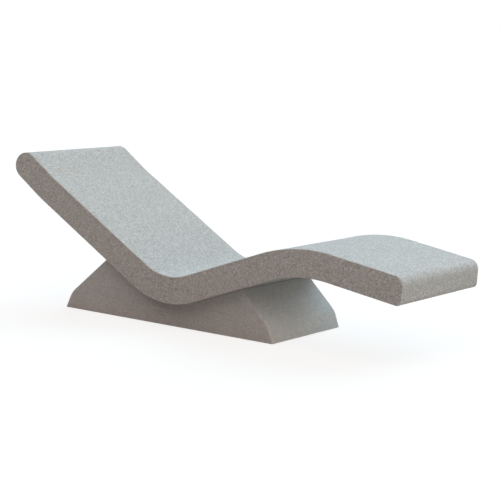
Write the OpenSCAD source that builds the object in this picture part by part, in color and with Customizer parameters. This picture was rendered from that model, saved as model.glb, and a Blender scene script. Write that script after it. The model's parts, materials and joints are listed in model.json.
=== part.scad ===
// Spa relaxation lounger: a wave-shaped reclining slab bedded in a saddle on a low plinth.
// The slab is a rigid foam core in a stone-grained mineral coat, with two heating mats under
// the coat. The plinth is made the same way. Nothing on the lounger moves.
// X runs from head to foot, Y across, Z up. The origin is on the floor, in the middle of the
// overall length and width. Headings and slopes are in degrees.

/* [Reclining slab] */
// Width of the slab
slab_width = 680; // [560:10:800]
// Thickness of the finished slab
slab_thickness = 112; // [90:1:130]
// Height of the lowest point of the seat above the floor
seat_height = 217; // [200:1:260]
// Straight length of the head rest
head_length = 120; // [100:5:220]
// How much steeper the head rest is than the back
head_bend = 4.2; // [2:0.1:12]
// Radius of the bend between head rest and back
head_bend_radius = 400; // [200:10:800]
// Straight length of the back
back_length = 578; // [450:1:700]
// Slope of the back
back_angle = 31.2; // [24:0.1:40]
// Radius of the seat hollow
seat_radius = 220; // [170:1:320]
// Straight length under the thighs
thigh_length = 362; // [300:1:450]
// Slope under the thighs
thigh_angle = 21.7; // [15:0.1:28]
// Radius over the knees
knee_radius = 634; // [400:1:900]
// Straight length under the lower legs
leg_length = 317; // [220:1:450]
// Fall under the lower legs
leg_angle = 8.5; // [4:0.1:15]
// Slope of the foot end's face, plumb at 90
foot_face_angle = 90; // [82:0.5:90]
// Rounding of the foot end's top edge
foot_top_radius = 41; // [20:1:60]
// Rounding of the foot end's bottom edge
foot_bottom_radius = 20; // [8:1:30]

/* [Mineral coat] */
// Thickness of the reinforced coat on slab and plinth
coat = 5; // [3:0.5:7]
// Thickness of the mortar bed between slab and plinth
bed = 3; // [2:0.5:6]

/* [Plinth] */
// How far the slab stands out past the plinth on each side
slab_overhang = 65; // [40:1:100]
// Reach of the plinth's foot from under the seat towards the head
plinth_head_reach = 561; // [480:1:640]
// Reach of the plinth's foot from under the seat towards the foot end
plinth_foot_reach = 467; // [400:1:540]
// Height of the bend in each plinth end above the plinth's lower edge
kink_height = 68; // [55:1:90]
// How far the bend stands in from the plinth's lower edge
kink_inset = 26; // [15:1:36]
// Rounding of the bend
kink_radius = 100; // [40:5:140]
// Slope of each plinth end above the bend
end_slope = 43.5; // [38:0.5:55]
// Thickness of the floor board
board_thickness = 20; // [17:1:30]
// Radius of a floor pad
pad_radius = 30; // [20:1:40]
// Thickness of a floor pad
pad_thickness = 4; // [3:0.5:8]
// Depth of a floor pad's recess in the board
pad_recess = 2; // [1:0.5:2.5]

/* [Heating] */
// Depth of the pocket that holds the heating mats
mat_depth = 4; // [3:0.5:6]
// Thickness of the mats' glass-fibre net
net_thickness = 1; // [0.5:0.1:1.5]
// Distance from the mats to the slab's sides
mat_side_margin = 50; // [40:5:90]
// Distance from the mats to the slab's straight ends
mat_end_margin = 80; // [75:1:90]
// Width of a heating cable
cable_width = 4; // [3:0.5:5]
// Number of cable runs in a mat, an odd number
cable_runs = 9; // [5:2:13]
// Radius of a mat's supply lead
lead_radius = 2.2; // [1.5:0.1:2.4]
// Radius of the temperature sensor
sensor_radius = 1.8; // [1.2:0.1:1.9]
// Length of the temperature sensor
sensor_length = 40; // [30:1:60]
// Outer radius of the lead conduit
conduit_radius = 16; // [15.5:0.5:20]
// Wall of the lead conduit
conduit_wall = 2.5; // [1.5:0.1:3]

/* [Fastening] */
// Radius of a tie rod
rod_radius = 5; // [4:0.5:6]
// Distance of a tie rod from the end of its rail
rod_end_margin = 50; // [30:1:80]
// Distance of the bearing rails' ends from the slab's sides
rail_side_margin = 140; // [120:1:160]
// Width of a bearing rail
rail_width = 50; // [40:1:56]
// Thickness of a bearing rail
rail_thickness = 6; // [4:0.5:8]
// Angle of each rail from the lowest point of the seat, seen from the seat's centre
rail_angle = 13; // [12:0.5:15]
// Radius of a dowel
dowel_radius = 10; // [6:0.5:14]
// Length of a dowel
dowel_length = 100; // [60:5:120]
// Distance of the dowels from the slab's sides
dowel_side_margin = 70; // [50:1:80]

/* [Terminal box] */
// Length of the terminal box
box_length = 120; // [110:1:140]
// Width of the terminal box
box_width = 70; // [56:1:90]
// Height of the terminal box without its lid
box_height = 42; // [38:1:46]
// Wall of the terminal box
box_wall = 3; // [2:0.5:4]
// Distance of the cable gland from the lead conduit
gland_offset = 60; // [52:1:66]
// Radius of the cable gland's thread
gland_radius = 10; // [8:0.5:11]
// Radius of the bore for the supply cable
gland_bore = 6; // [4:0.5:7]

/* [Hidden] */

// Number of faces on a round piece
round_faces = 48;
// Largest turn of one facet on the slab's long bends
bend_step = 2;
// Turn of one facet on the roundings of the ends
edge_step = 7.5;
// How far a cut runs past the face that it opens
overrun = 1;
// Clearance round a piece that is glued or slipped into its hole
fit_gap = 0.25;
// Clearance of a nut on its rod
thread_gap = 0.05;

// Widths that follow from the slab's width
plinth_width = slab_width - 2 * slab_overhang;
rail_length = slab_width - 2 * rail_side_margin;
rod_y = rail_length / 2 - rod_end_margin;
dowel_y = slab_width / 2 - dowel_side_margin;

// Height of the plinth's lower edge, and of the floor board's top
plinth_bottom = pad_thickness - pad_recess;
board_top = plinth_bottom + board_thickness;

// Angle on each side of the seat's lowest point that is left free for the sensor
sensor_angle = 1.5;
// Angle that one cable takes up across the seat hollow
row_angle = cable_width / (seat_radius + coat) * 180 / PI;

// Direction of travel at a heading, and the direction square to it that points out of the seat
function ahead(h) = [cos(h), sin(h)];
function upward(h) = [-sin(h), cos(h)];
// A stretch of the reclining line: its length and how much it turns
function straight(l) = [l, 0];
function bend(r, a) = [r * abs(a) * PI / 180, a];

// The reclining line from head to foot
stretches = [
    straight(mat_end_margin),
    straight(cable_width),
    straight(head_length - mat_end_margin - cable_width),
    bend(head_bend_radius, head_bend),
    straight(back_length),
    bend(seat_radius, back_angle - sensor_angle - 3 * row_angle),
    bend(seat_radius, row_angle),
    bend(seat_radius, row_angle),
    bend(seat_radius, row_angle),
    bend(seat_radius, sensor_angle),
    bend(seat_radius, sensor_angle),
    bend(seat_radius, row_angle),
    bend(seat_radius, row_angle),
    bend(seat_radius, row_angle),
    bend(seat_radius, thigh_angle - sensor_angle - 3 * row_angle),
    straight(thigh_length),
    bend(knee_radius, -thigh_angle - leg_angle),
    straight(leg_length - mat_end_margin - cable_width),
    straight(cable_width),
    straight(mat_end_margin)
];

// Each stretch is walked in equal steps, and mark(n) is the station where stretch n starts
function step_count(s) = max(1, ceil(abs(s[1]) / bend_step));
function mark(n) = n == 0 ? 0 : mark(n - 1) + step_count(stretches[n - 1]);
steps = [for (s = stretches) for (k = [1:step_count(s)]) s / step_count(s)];
function chord(s) = s[1] == 0 ? s[0] : s[0] * sin(abs(s[1]) / 2) / (abs(s[1]) * PI / 360);
walked = [for (i = 0, p = [0, 0], h = -back_angle - head_bend; i <= len(steps);
    p = i < len(steps) ? p + chord(steps[i]) * ahead(h + steps[i][1] / 2) : p,
    h = i < len(steps) ? h + steps[i][1] : h,
    i = i + 1) [p[0], p[1], h]];

// Stations with a name
mat_head = mark(1);
seat_start = mark(5);
seat_low = mark(10);
seat_end = mark(15);
mat_foot = mark(19);
foot = mark(20);
// Pairs of stations one cable apart: where the cable turns, and where its tail runs
head_row = [mark(1), mark(2)];
back_seat_row = [mark(6), mark(7)];
back_tail_row = [mark(8), mark(9)];
leg_tail_row = [mark(11), mark(12)];
leg_seat_row = [mark(13), mark(14)];
foot_row = [mark(18), mark(19)];

// Moves a station, and gives the point at a depth under it or behind it
function moved(s, v) = [s[0] + v[0], s[1] + v[1], s[2]];
function under(s, depth, back = 0) = [s[0], s[1]] - depth * upward(s[2]) - back * ahead(s[2]);

// The line hangs by its lowest seat point, and lies so that the overall length is centred
hung = [for (s = walked) moved(s, [-walked[seat_low][0], seat_height - walked[seat_low][1]])];
head_tip = under(hung[0], slab_thickness / 2)[0] - slab_thickness / 2;
foot_tip = under(hung[foot], foot_top_radius, foot_top_radius)[0] + foot_top_radius;
// How far the foot end's face is turned out of square with the leg, and how far the bottom
// rounding's centre lies behind the leg's end, so that the face touches both roundings
foot_turn = leg_angle + foot_face_angle - 90;
foot_back = (foot_top_radius * (cos(foot_turn) + sin(foot_turn) - 1) + foot_bottom_radius
    - (slab_thickness - foot_bottom_radius) * sin(foot_turn)) / cos(foot_turn);
seat_x = -(head_tip + foot_tip) / 2;
line = [for (s = hung) moved(s, [seat_x, 0])];
// Centre of the seat hollow, and the point at an angle from below it at a depth in the slab
seat_centre = [seat_x, seat_height + seat_radius];
function in_seat(angle, depth) = seat_centre - (seat_radius + depth) * upward(angle);

function reversed(v) = [for (i = [len(v) - 1:-1:0]) v[i]];
// Points under the line between two stations, and the closed strip between two depths
function run(depth, a, b) = [for (i = [a:b]) under(line[i], depth)];
function strip(top, bottom, a, b) = concat(run(top, a, b), reversed(run(bottom, a, b)));

// Roundings of the slab's ends, drawn in by an inset
function around(centre, radius, h, from, to) = [for (k = [0:ceil(abs(to - from) / edge_step)])
    let (a = from + (to - from) * k / ceil(abs(to - from) / edge_step))
    centre + radius * (cos(a) * ahead(h) + sin(a) * upward(h))];
function head_end(inset) = around(under(line[0], slab_thickness / 2),
    slab_thickness / 2 - inset, line[0][2], 270, 90);
function foot_end(inset) = concat(
    around(under(line[foot], foot_top_radius, foot_top_radius),
        foot_top_radius - inset, line[foot][2], 90, foot_turn),
    around(under(line[foot], slab_thickness - foot_bottom_radius, foot_back),
        foot_bottom_radius - inset, line[foot][2], foot_turn, -90));
// The outline from the underside round the head, over the top and round the foot end
function wrap(inset) = concat(head_end(inset), run(inset, 1, mat_foot), foot_end(inset));
function slab_outline(inset) =
    concat(wrap(inset), reversed(run(slab_thickness - inset, 1, mat_foot)));

// One end of the plinth from its lower edge up to where it is hidden in the slab
kink_slope = atan(kink_height / kink_inset);
slope_top = seat_height + slab_thickness;
function plinth_end(side, reach, inset) = let (
    turn = kink_slope - end_slope,
    corner = [kink_inset - reach, kink_height + plinth_bottom],
    centre = corner - kink_radius / cos(turn / 2) * upward(end_slope + turn / 2),
    start = centre + (kink_radius - inset) * upward(kink_slope),
    end = centre + (kink_radius - inset) * upward(end_slope),
    points = concat(
        [start - (start[1] - plinth_bottom) / sin(kink_slope) * ahead(kink_slope)],
        [for (k = [0:4]) centre + (kink_radius - inset) * upward(kink_slope - turn * k / 4)],
        [end + (slope_top - end[1]) / sin(end_slope) * ahead(end_slope)]))
    [for (p = points) [seat_x - side * p[0], p[1]]];
function head_side(inset) = plinth_end(-1, plinth_head_reach, inset);
function foot_side(inset) = plinth_end(1, plinth_foot_reach, inset);
function plinth_outline(inset) = concat(head_side(inset), reversed(foot_side(inset)));
// Everything above the saddle that carries the slab and its mortar bed
sky = 2 * (seat_height + back_length);
above_saddle = concat(run(slab_thickness + bed, 0, foot),
    [[under(line[foot], slab_thickness + bed)[0], sky],
     [under(line[0], slab_thickness + bed)[0], sky]]);
// Where the plinth's three foam blocks meet
head_joint = under(line[seat_start], slab_thickness)[0];
foot_joint = under(line[seat_end], slab_thickness)[0];

// Bottom of the mat pocket at the lowest point of the seat
pocket_bottom = seat_height - coat - mat_depth;
pocket_width = slab_width - 2 * mat_side_margin;
// Depth where the seat core's two layers meet, with the rails let into it
mid_depth = slab_thickness / 2;
rail_x = in_seat(rail_angle, mid_depth)[0] - seat_x;
rail_low_x = rail_x - rail_width / 2;
rail_top = seat_centre[1] - sqrt(pow(seat_radius + mid_depth, 2) - pow(rail_low_x, 2));
rail_bottom = rail_top - rail_thickness;

// Hexagon nuts and washers of the tie rods
nut_height = 1.6 * rod_radius;
nut_corner_radius = 1.95 * rod_radius;
washer_radius = 3 * rod_radius;
washer_thickness = 2.5;
rod_tail = 2;
nut_recess = washer_thickness + nut_height + rod_tail;

// Levels in the terminal box
box_floor = board_top + box_wall;
lid_bottom = board_top + box_height;
lid_top = lid_bottom + box_wall;
collar_height = 8;
collar_wall = 3;
// The box lies lengthwise under the conduit, with this much of it on the head side
box_head_share = 0.25;
box_x = seat_x + box_length * (0.5 - box_head_share);
strip_length = 44;
strip_width = 28;
strip_height = 22;
strip_hole_depth = 6;
strip_top = box_floor + strip_height;
// Places of the leads in the conduit
lead_x = (seat_radius + coat + mat_depth) * sin(sensor_angle + row_angle / 2);
sensor_lead_y = 7;
// Cable gland under the box, reaching down into the board's hole
gland_x = seat_x + gland_offset;
gland_corner_radius = 1.4 * gland_radius;
gland_drop = 14;
gland_stub = 8;
locknut_height = 5;

// Draws an outline from the side and gives it a width, centred at a place across
module across(points, width, y = 0) {
    translate([0, y, 0]) rotate([90, 0, 0])
        linear_extrude(height = width, center = true) polygon(points);
}

// Stands a copy at each of the four tie rods
module at_rods() {
    for (side = [-1, 1]) for (y = [-rod_y, rod_y])
        translate([seat_x + side * rail_x, y, 0]) children();
}

// The dowels across the two glued joints of the core, or their holes with a gap
module dowels(gap) {
    for (i = [seat_start, seat_end]) for (y = [-dowel_y, dowel_y]) {
        p = under(line[i], mid_depth);
        translate([p[0], y, p[1]]) rotate([0, 90 - line[i][2], 0])
            cylinder(h = dowel_length + 2 * gap, r = dowel_radius + gap, center = true,
                $fn = round_faces);
    }
}

// The pocket in the top of the core that holds both mats
module mat_pocket() {
    across(strip(coat - overrun, coat + mat_depth, mat_head, mat_foot), pocket_width);
}

// The vertical hole for the lead conduit, and the holes for the tie rods
module conduit_hole() {
    translate([seat_x, 0, lid_top]) cylinder(h = seat_height - lid_top,
        r = conduit_radius + fit_gap, $fn = round_faces);
}
module rod_holes(top) {
    at_rods() translate([0, 0, -overrun]) cylinder(h = top + overrun,
        r = rod_radius + fit_gap, $fn = round_faces);
}

module back_core() {
    color("lightsteelblue") difference() {
        across(concat(head_end(coat), run(coat, 1, seat_start),
            reversed(run(slab_thickness - coat, 1, seat_start))), slab_width - 2 * coat);
        mat_pocket();
        dowels(fit_gap);
    }
}

module seat_core_upper() {
    color("lightsteelblue") difference() {
        across(strip(coat, mid_depth, seat_start, seat_end), slab_width - 2 * coat);
        mat_pocket();
        dowels(fit_gap);
        conduit_hole();
        at_rods() translate([0, 0, rail_bottom]) cylinder(r = nut_corner_radius + fit_gap,
            h = rail_thickness + nut_height + rod_tail + fit_gap, $fn = round_faces);
    }
}

module seat_core_lower() {
    color("lightsteelblue") difference() {
        across(strip(mid_depth, slab_thickness - coat, seat_start, seat_end),
            slab_width - 2 * coat);
        dowels(fit_gap);
        conduit_hole();
        rod_holes(rail_top);
        for (side = [-1, 1])
            translate([seat_x + side * rail_x - rail_width / 2 - fit_gap,
                -rail_length / 2 - fit_gap, rail_bottom])
                cube([rail_width + 2 * fit_gap, rail_length + 2 * fit_gap, slab_thickness]);
    }
}

module leg_core() {
    color("lightsteelblue") difference() {
        across(concat(run(coat, seat_end, mat_foot), foot_end(coat),
            reversed(run(slab_thickness - coat, seat_end, mat_foot))), slab_width - 2 * coat);
        mat_pocket();
        dowels(fit_gap);
    }
}

module core_dowels() {
    color("burlywood") dowels(0);
}

// The coat over the head end, the reclining face and the foot end, in one pass
module top_skin() {
    color("lightgray") across(concat(wrap(0), reversed(wrap(coat))), slab_width - 2 * coat);
}

module underside_skin() {
    color("darkgray") difference() {
        across(concat(run(slab_thickness - coat, 0, mat_foot),
            [under(line[foot], slab_thickness - coat, foot_back),
             under(line[foot], slab_thickness, foot_back)],
            reversed(run(slab_thickness, 0, mat_foot))), slab_width - 2 * coat);
        conduit_hole();
        rod_holes(rail_bottom);
    }
}

module side_skin(side) {
    color("rosybrown") across(slab_outline(0), coat, side * (slab_width - coat) / 2);
}
module left_side_skin() { side_skin(1); }
module right_side_skin() { side_skin(-1); }

// A net with one cable on it, which runs to and fro along the slab. The first run goes on to
// the tail row, and the tail leads it to the middle of the width.
module heating_mat(far_row, seat_row, tail_row) {
    first = min(concat(far_row, tail_row));
    last = max(concat(far_row, tail_row));
    top = coat;
    net_top = coat + mat_depth - net_thickness;
    net_width = pocket_width - 2 * fit_gap;
    pitch = (net_width - 3 * cable_width) / (cable_runs - 1);
    color("gainsboro")
        across(strip(net_top, coat + mat_depth, first, last), net_width);
    color("firebrick") for (k = [0:cable_runs - 1]) {
        y = (k - (cable_runs - 1) / 2) * pitch;
        end_row = k == 0 ? tail_row : seat_row;
        across(strip(top, net_top, min(concat(far_row, end_row)), max(concat(far_row, end_row))),
            cable_width, y);
        turn_row = k % 2 == 0 ? far_row : seat_row;
        if (k < cable_runs - 1)
            across(strip(top, net_top, turn_row[0], turn_row[1]), pitch + cable_width,
                y + pitch / 2);
    }
    tail_length = (cable_runs - 1) / 2 * pitch + cable_width;
    color("firebrick") across(strip(top, net_top, tail_row[0], tail_row[1]), tail_length,
        (cable_width - tail_length) / 2);
}
module back_heating_mat() { heating_mat(head_row, back_seat_row, back_tail_row); }
module leg_heating_mat() { heating_mat(foot_row, leg_seat_row, leg_tail_row); }

module temperature_sensor() {
    color("silver") translate([seat_x, 0, pocket_bottom + sensor_radius]) rotate([-90, 0, 0])
        cylinder(h = sensor_length, r = sensor_radius, $fn = round_faces);
}

// Upright leads from the mats' tails and from the sensor down into the terminal strip
module lead(x, y, top, radius) {
    translate([seat_x + x, y, strip_top - strip_hole_depth])
        cylinder(h = top - strip_top + strip_hole_depth, r = radius, $fn = round_faces);
}
module mat_leads() {
    color("firebrick") for (side = [-1, 1])
        lead(side * lead_x, 0, in_seat(sensor_angle, coat + mat_depth)[1], lead_radius);
}
module sensor_lead() {
    color("dimgray") lead(0, sensor_lead_y, pocket_bottom, sensor_radius);
}

module lead_conduit() {
    color("slategray") difference() {
        translate([seat_x, 0, lid_top])
            cylinder(h = pocket_bottom - lid_top, r = conduit_radius, $fn = round_faces);
        translate([seat_x, 0, lid_top - overrun])
            cylinder(h = pocket_bottom - lid_top + 2 * overrun,
                r = conduit_radius - conduit_wall, $fn = round_faces);
    }
}

// Flat steel bars between the seat core's layers, drilled for the tie rods
module bearing_rails() {
    color("lightslategray") difference() {
        for (side = [-1, 1])
            translate([seat_x + side * rail_x - rail_width / 2, -rail_length / 2, rail_bottom])
                cube([rail_width, rail_length, rail_thickness]);
        rod_holes(rail_top + overrun);
    }
}

module hexagon_nut(height, corner_radius, bore) {
    difference() {
        cylinder(h = height, r = corner_radius, $fn = 6);
        translate([0, 0, -overrun]) cylinder(h = height + 2 * overrun, r = bore,
            $fn = round_faces);
    }
}
module rail_nuts() {
    color("lightslategray") at_rods() translate([0, 0, rail_top])
        hexagon_nut(nut_height, nut_corner_radius, rod_radius + thread_gap);
}
module tie_rods() {
    color("silver") at_rods() translate([0, 0, plinth_bottom + fit_gap])
        cylinder(h = rail_top + nut_height + rod_tail - plinth_bottom - fit_gap,
            r = rod_radius, $fn = round_faces);
}
module rod_nuts() {
    color("lightslategray") at_rods() translate([0, 0, plinth_bottom + rod_tail])
        hexagon_nut(nut_height, nut_corner_radius, rod_radius + thread_gap);
}
module rod_washers() {
    color("silver") at_rods() translate([0, 0, plinth_bottom + rod_tail + nut_height])
        difference() {
            cylinder(h = washer_thickness, r = washer_radius, $fn = round_faces);
            translate([0, 0, -overrun]) cylinder(h = washer_thickness + 2 * overrun,
                r = rod_radius + fit_gap, $fn = round_faces);
        }
}

module saddle_bed() {
    color("gray") difference() {
        intersection() {
            across(strip(slab_thickness, slab_thickness + bed, 0, foot), plinth_width);
            across(plinth_outline(0), plinth_width);
        }
        conduit_hole();
        rod_holes(rail_bottom);
    }
}

// The plinth's core between two places along it, cut out for the saddle and all that passes
module plinth_core(from, to) {
    difference() {
        intersection() {
            across(plinth_outline(coat), plinth_width - 2 * coat);
            translate([from, -plinth_width / 2, board_top])
                cube([to - from, plinth_width, sky]);
        }
        across(above_saddle, plinth_width);
    }
}
module plinth_head_block() {
    color("lightsteelblue") plinth_core(seat_x - plinth_head_reach, head_joint);
}
module plinth_foot_block() {
    color("lightsteelblue") plinth_core(foot_joint, seat_x + plinth_foot_reach);
}
module plinth_middle_block() {
    color("lightsteelblue") difference() {
        plinth_core(head_joint, foot_joint);
        conduit_hole();
        rod_holes(rail_bottom);
        translate([box_x - box_length / 2 - fit_gap, -box_width / 2 - fit_gap,
            board_top - overrun])
            cube([box_length + 2 * fit_gap, box_width + 2 * fit_gap,
                box_height + box_wall + overrun]);
        translate([seat_x, 0, lid_top - overrun]) cylinder(h = collar_height + overrun,
            r = conduit_radius + 2 * fit_gap + collar_wall, $fn = round_faces);
    }
}

module plinth_side_skin(side) {
    color("darkgray") difference() {
        across(plinth_outline(0), coat, side * (plinth_width - coat) / 2);
        across(above_saddle, slab_width);
    }
}
module plinth_left_skin() { plinth_side_skin(1); }
module plinth_right_skin() { plinth_side_skin(-1); }

module plinth_end_skin(outer, inner) {
    color("gray") difference() {
        across(concat(outer, reversed(inner)), plinth_width - 2 * coat);
        across(above_saddle, slab_width);
    }
}
module plinth_head_end_skin() { plinth_end_skin(head_side(0), head_side(coat)); }
module plinth_foot_end_skin() { plinth_end_skin(foot_side(0), foot_side(coat)); }

// Stands a copy at each of the four floor pads
module at_pads() {
    inset = coat + kink_inset + pad_radius;
    for (x = [inset - plinth_head_reach, plinth_foot_reach - inset])
        for (side = [-1, 1])
            translate([seat_x + x, side * (plinth_width / 2 - inset), 0]) children();
}

module floor_board() {
    color("tan") difference() {
        intersection() {
            across(plinth_outline(coat), plinth_width - 2 * coat);
            translate([seat_x - plinth_head_reach, -plinth_width / 2, plinth_bottom])
                cube([plinth_head_reach + plinth_foot_reach, plinth_width, board_thickness]);
        }
        rod_holes(board_top + overrun);
        at_rods() cylinder(h = plinth_bottom + nut_recess, r = washer_radius + fit_gap,
            $fn = round_faces);
        at_pads() cylinder(h = pad_thickness, r = pad_radius + fit_gap, $fn = round_faces);
        translate([gland_x, 0, 0]) cylinder(h = board_top + overrun,
            r = gland_corner_radius + collar_wall, $fn = round_faces);
    }
}
module floor_pads() {
    color("dimgray") at_pads() cylinder(h = pad_thickness, r = pad_radius, $fn = round_faces);
}

module terminal_box() {
    color("whitesmoke") difference() {
        translate([box_x - box_length / 2, -box_width / 2, board_top])
            cube([box_length, box_width, box_height]);
        translate([box_x - box_length / 2 + box_wall, -box_width / 2 + box_wall, box_floor])
            cube([box_length - 2 * box_wall, box_width - 2 * box_wall, box_height]);
        translate([gland_x, 0, board_top - overrun]) cylinder(h = box_wall + 2 * overrun,
            r = gland_radius + fit_gap, $fn = round_faces);
    }
}

// The lid has a rim that drops into the box, and a collar that holds the conduit
module terminal_box_lid() {
    inner_length = box_length - 2 * box_wall - 2 * fit_gap;
    inner_width = box_width - 2 * box_wall - 2 * fit_gap;
    color("gainsboro") difference() {
        union() {
            translate([box_x - box_length / 2, -box_width / 2, lid_bottom])
                cube([box_length, box_width, box_wall]);
            difference() {
                translate([box_x - inner_length / 2, -inner_width / 2, lid_bottom - box_wall])
                    cube([inner_length, inner_width, box_wall]);
                translate([box_x - inner_length / 2 + box_wall, -inner_width / 2 + box_wall,
                    lid_bottom - box_wall - overrun])
                    cube([inner_length - 2 * box_wall, inner_width - 2 * box_wall,
                        box_wall + overrun]);
            }
            translate([seat_x, 0, lid_top - overrun]) cylinder(h = collar_height + overrun,
                r = conduit_radius + fit_gap + collar_wall, $fn = round_faces);
        }
        translate([seat_x, 0, lid_bottom - overrun]) cylinder(h = box_wall + 2 * overrun,
            r = conduit_radius - conduit_wall, $fn = round_faces);
        translate([seat_x, 0, lid_top]) cylinder(h = collar_height + overrun,
            r = conduit_radius + fit_gap, $fn = round_faces);
    }
}

// A block with a hole for each lead
module terminal_strip() {
    color("ivory") difference() {
        translate([seat_x - strip_length / 2, -strip_width / 2, box_floor])
            cube([strip_length, strip_width, strip_height]);
        for (side = [-1, 1])
            translate([seat_x + side * lead_x, 0, strip_top - strip_hole_depth])
                cylinder(h = strip_height, r = lead_radius + fit_gap, $fn = round_faces);
        translate([seat_x, sensor_lead_y, strip_top - strip_hole_depth])
            cylinder(h = strip_height, r = sensor_radius + fit_gap, $fn = round_faces);
    }
}

module cable_gland() {
    color("dimgray") translate([gland_x, 0, 0]) difference() {
        union() {
            translate([0, 0, board_top - gland_drop])
                cylinder(h = gland_drop, r = gland_corner_radius, $fn = 6);
            translate([0, 0, board_top])
                cylinder(h = box_wall + gland_stub, r = gland_radius, $fn = round_faces);
        }
        translate([0, 0, board_top - gland_drop - overrun])
            cylinder(h = gland_drop + box_wall + gland_stub + 2 * overrun, r = gland_bore,
                $fn = round_faces);
    }
}
module gland_locknut() {
    color("dimgray") translate([gland_x, 0, box_floor])
        hexagon_nut(locknut_height, gland_corner_radius, gland_radius + thread_gap);
}

back_core();
seat_core_upper();
seat_core_lower();
leg_core();
core_dowels();
top_skin();
underside_skin();
left_side_skin();
right_side_skin();
back_heating_mat();
leg_heating_mat();
temperature_sensor();
mat_leads();
sensor_lead();
lead_conduit();
bearing_rails();
rail_nuts();
tie_rods();
rod_washers();
rod_nuts();
saddle_bed();
plinth_head_block();
plinth_middle_block();
plinth_foot_block();
plinth_left_skin();
plinth_right_skin();
plinth_head_end_skin();
plinth_foot_end_skin();
floor_board();
floor_pads();
terminal_box();
terminal_box_lid();
terminal_strip();
cable_gland();
gland_locknut();
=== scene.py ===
"""Gives a packed spa relaxation lounger its looks.

The lounger is a wave-shaped reclining slab with a stone-grained mineral coat, bedded in the
saddle of a low plinth with a finer coat. Lengths are in metres, in the part's own frame: X runs
from head to foot, Y across, Z up.
"""

import json
import math

import bmesh
import bpy
from mathutils import Matrix, Vector


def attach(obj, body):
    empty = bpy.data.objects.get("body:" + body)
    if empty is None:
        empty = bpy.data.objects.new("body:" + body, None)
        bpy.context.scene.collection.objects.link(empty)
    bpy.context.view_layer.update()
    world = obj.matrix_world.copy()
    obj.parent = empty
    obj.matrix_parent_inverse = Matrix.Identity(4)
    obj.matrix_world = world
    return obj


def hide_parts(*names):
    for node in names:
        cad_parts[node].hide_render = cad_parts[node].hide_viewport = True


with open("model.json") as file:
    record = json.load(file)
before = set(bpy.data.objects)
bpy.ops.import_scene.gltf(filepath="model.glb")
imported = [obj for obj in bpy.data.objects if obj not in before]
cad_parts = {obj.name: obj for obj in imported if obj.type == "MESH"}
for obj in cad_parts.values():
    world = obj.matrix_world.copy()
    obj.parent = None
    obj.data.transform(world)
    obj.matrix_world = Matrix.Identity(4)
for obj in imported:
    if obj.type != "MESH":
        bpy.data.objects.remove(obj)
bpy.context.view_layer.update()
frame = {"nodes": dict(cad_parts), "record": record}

# The slab, as its drawing gives it: lengths, slopes and radii along the reclining line
SLAB_WIDTH = 0.680
SLAB_THICKNESS = 0.112
SEAT_HEIGHT = 0.217
HEAD_LENGTH = 0.120
HEAD_BEND = math.radians(4.2)
HEAD_BEND_RADIUS = 0.400
BACK_LENGTH = 0.578
BACK_SLOPE = math.radians(31.2)
SEAT_RADIUS = 0.220
THIGH_LENGTH = 0.362
THIGH_SLOPE = math.radians(21.7)
KNEE_RADIUS = 0.634
LEG_LENGTH = 0.317
LEG_FALL = math.radians(8.5)
FOOT_TOP_RADIUS = 0.041
FOOT_BOTTOM_RADIUS = 0.020
# The slope of the foot end's face, and how far that turns it out of square with the leg
FOOT_FACE = math.radians(90)
FOOT_TURN = LEG_FALL + FOOT_FACE - math.pi / 2
# A sliver of flat between the two quarter rounds of the head end keeps their points apart
NOSE_FLAT = 0.001

# The plinth: how far its ends reach from under the seat, and the kink above which they lean in
# further
PLINTH_WIDTH = 0.550
PLINTH_HEAD_REACH = 0.561
PLINTH_FOOT_REACH = 0.467
PLINTH_BOTTOM = 0.002
KINK_HEIGHT = 0.068
KINK_INSET = 0.026
KINK_RADIUS = 0.100
END_SLOPE = math.radians(43.5)
MORTAR_BED = 0.003
COAT = 0.005

# How the coats are worked: the arris where two faces meet, the borders beside it, in which its
# wear fades, and how far from the slab's sides its faces begin to dip
SLAB_ARRIS = 0.0022
PLINTH_ARRIS = 0.0035
SIDE_BORDER = 0.008
PLINTH_BORDER = 0.012
FLAT_BORDER = 0.04
UNEVEN_DEPTH = 0.0006
UNEVEN_SIZE = 0.11
UNEVEN_SEED = 7.0

# How finely their meshes are made
SURFACE_STEP = 0.008
ARRIS_STEPS = 5
ROUND_PROFILE = 0.5
SMALLEST_ARC_STEPS = 8
SHARP_EDGE = math.radians(50)
WELD_DISTANCE = 0.00002


def ahead(heading):
    """The direction of travel at a heading, seen from the right side."""
    return Vector((math.cos(heading), math.sin(heading)))


def below(heading):
    """The direction square to a heading that points into the slab."""
    return Vector((math.sin(heading), -math.cos(heading)))


def crossing(point, heading, other, other_heading):
    """Where two straight lines meet."""
    d, e = ahead(heading), ahead(other_heading)
    gap = other - point
    return point + d * ((gap.x * e.y - gap.y * e.x) / (d.x * e.y - d.y * e.x))


# The reclining line has four straights, with a bend at each corner between them. A radius below
# zero bends it downwards. Three of its five corners are named by their places in the row.
HEAD_HEADING = -BACK_SLOPE - HEAD_BEND
BACK_HEADING = -BACK_SLOPE
THIGH_HEADING = THIGH_SLOPE
LEG_HEADING = -LEG_FALL
HEADINGS = [HEAD_HEADING, BACK_HEADING, THIGH_HEADING, LEG_HEADING]
HEAD_END, SEAT, FOOT_END = 0, 2, 4
BEND_RADII = [HEAD_BEND_RADIUS, SEAT_RADIUS, -KNEE_RADIUS]
BEND_TURNS = [abs(b - a) for a, b in zip(HEADINGS, HEADINGS[1:])]


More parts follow.
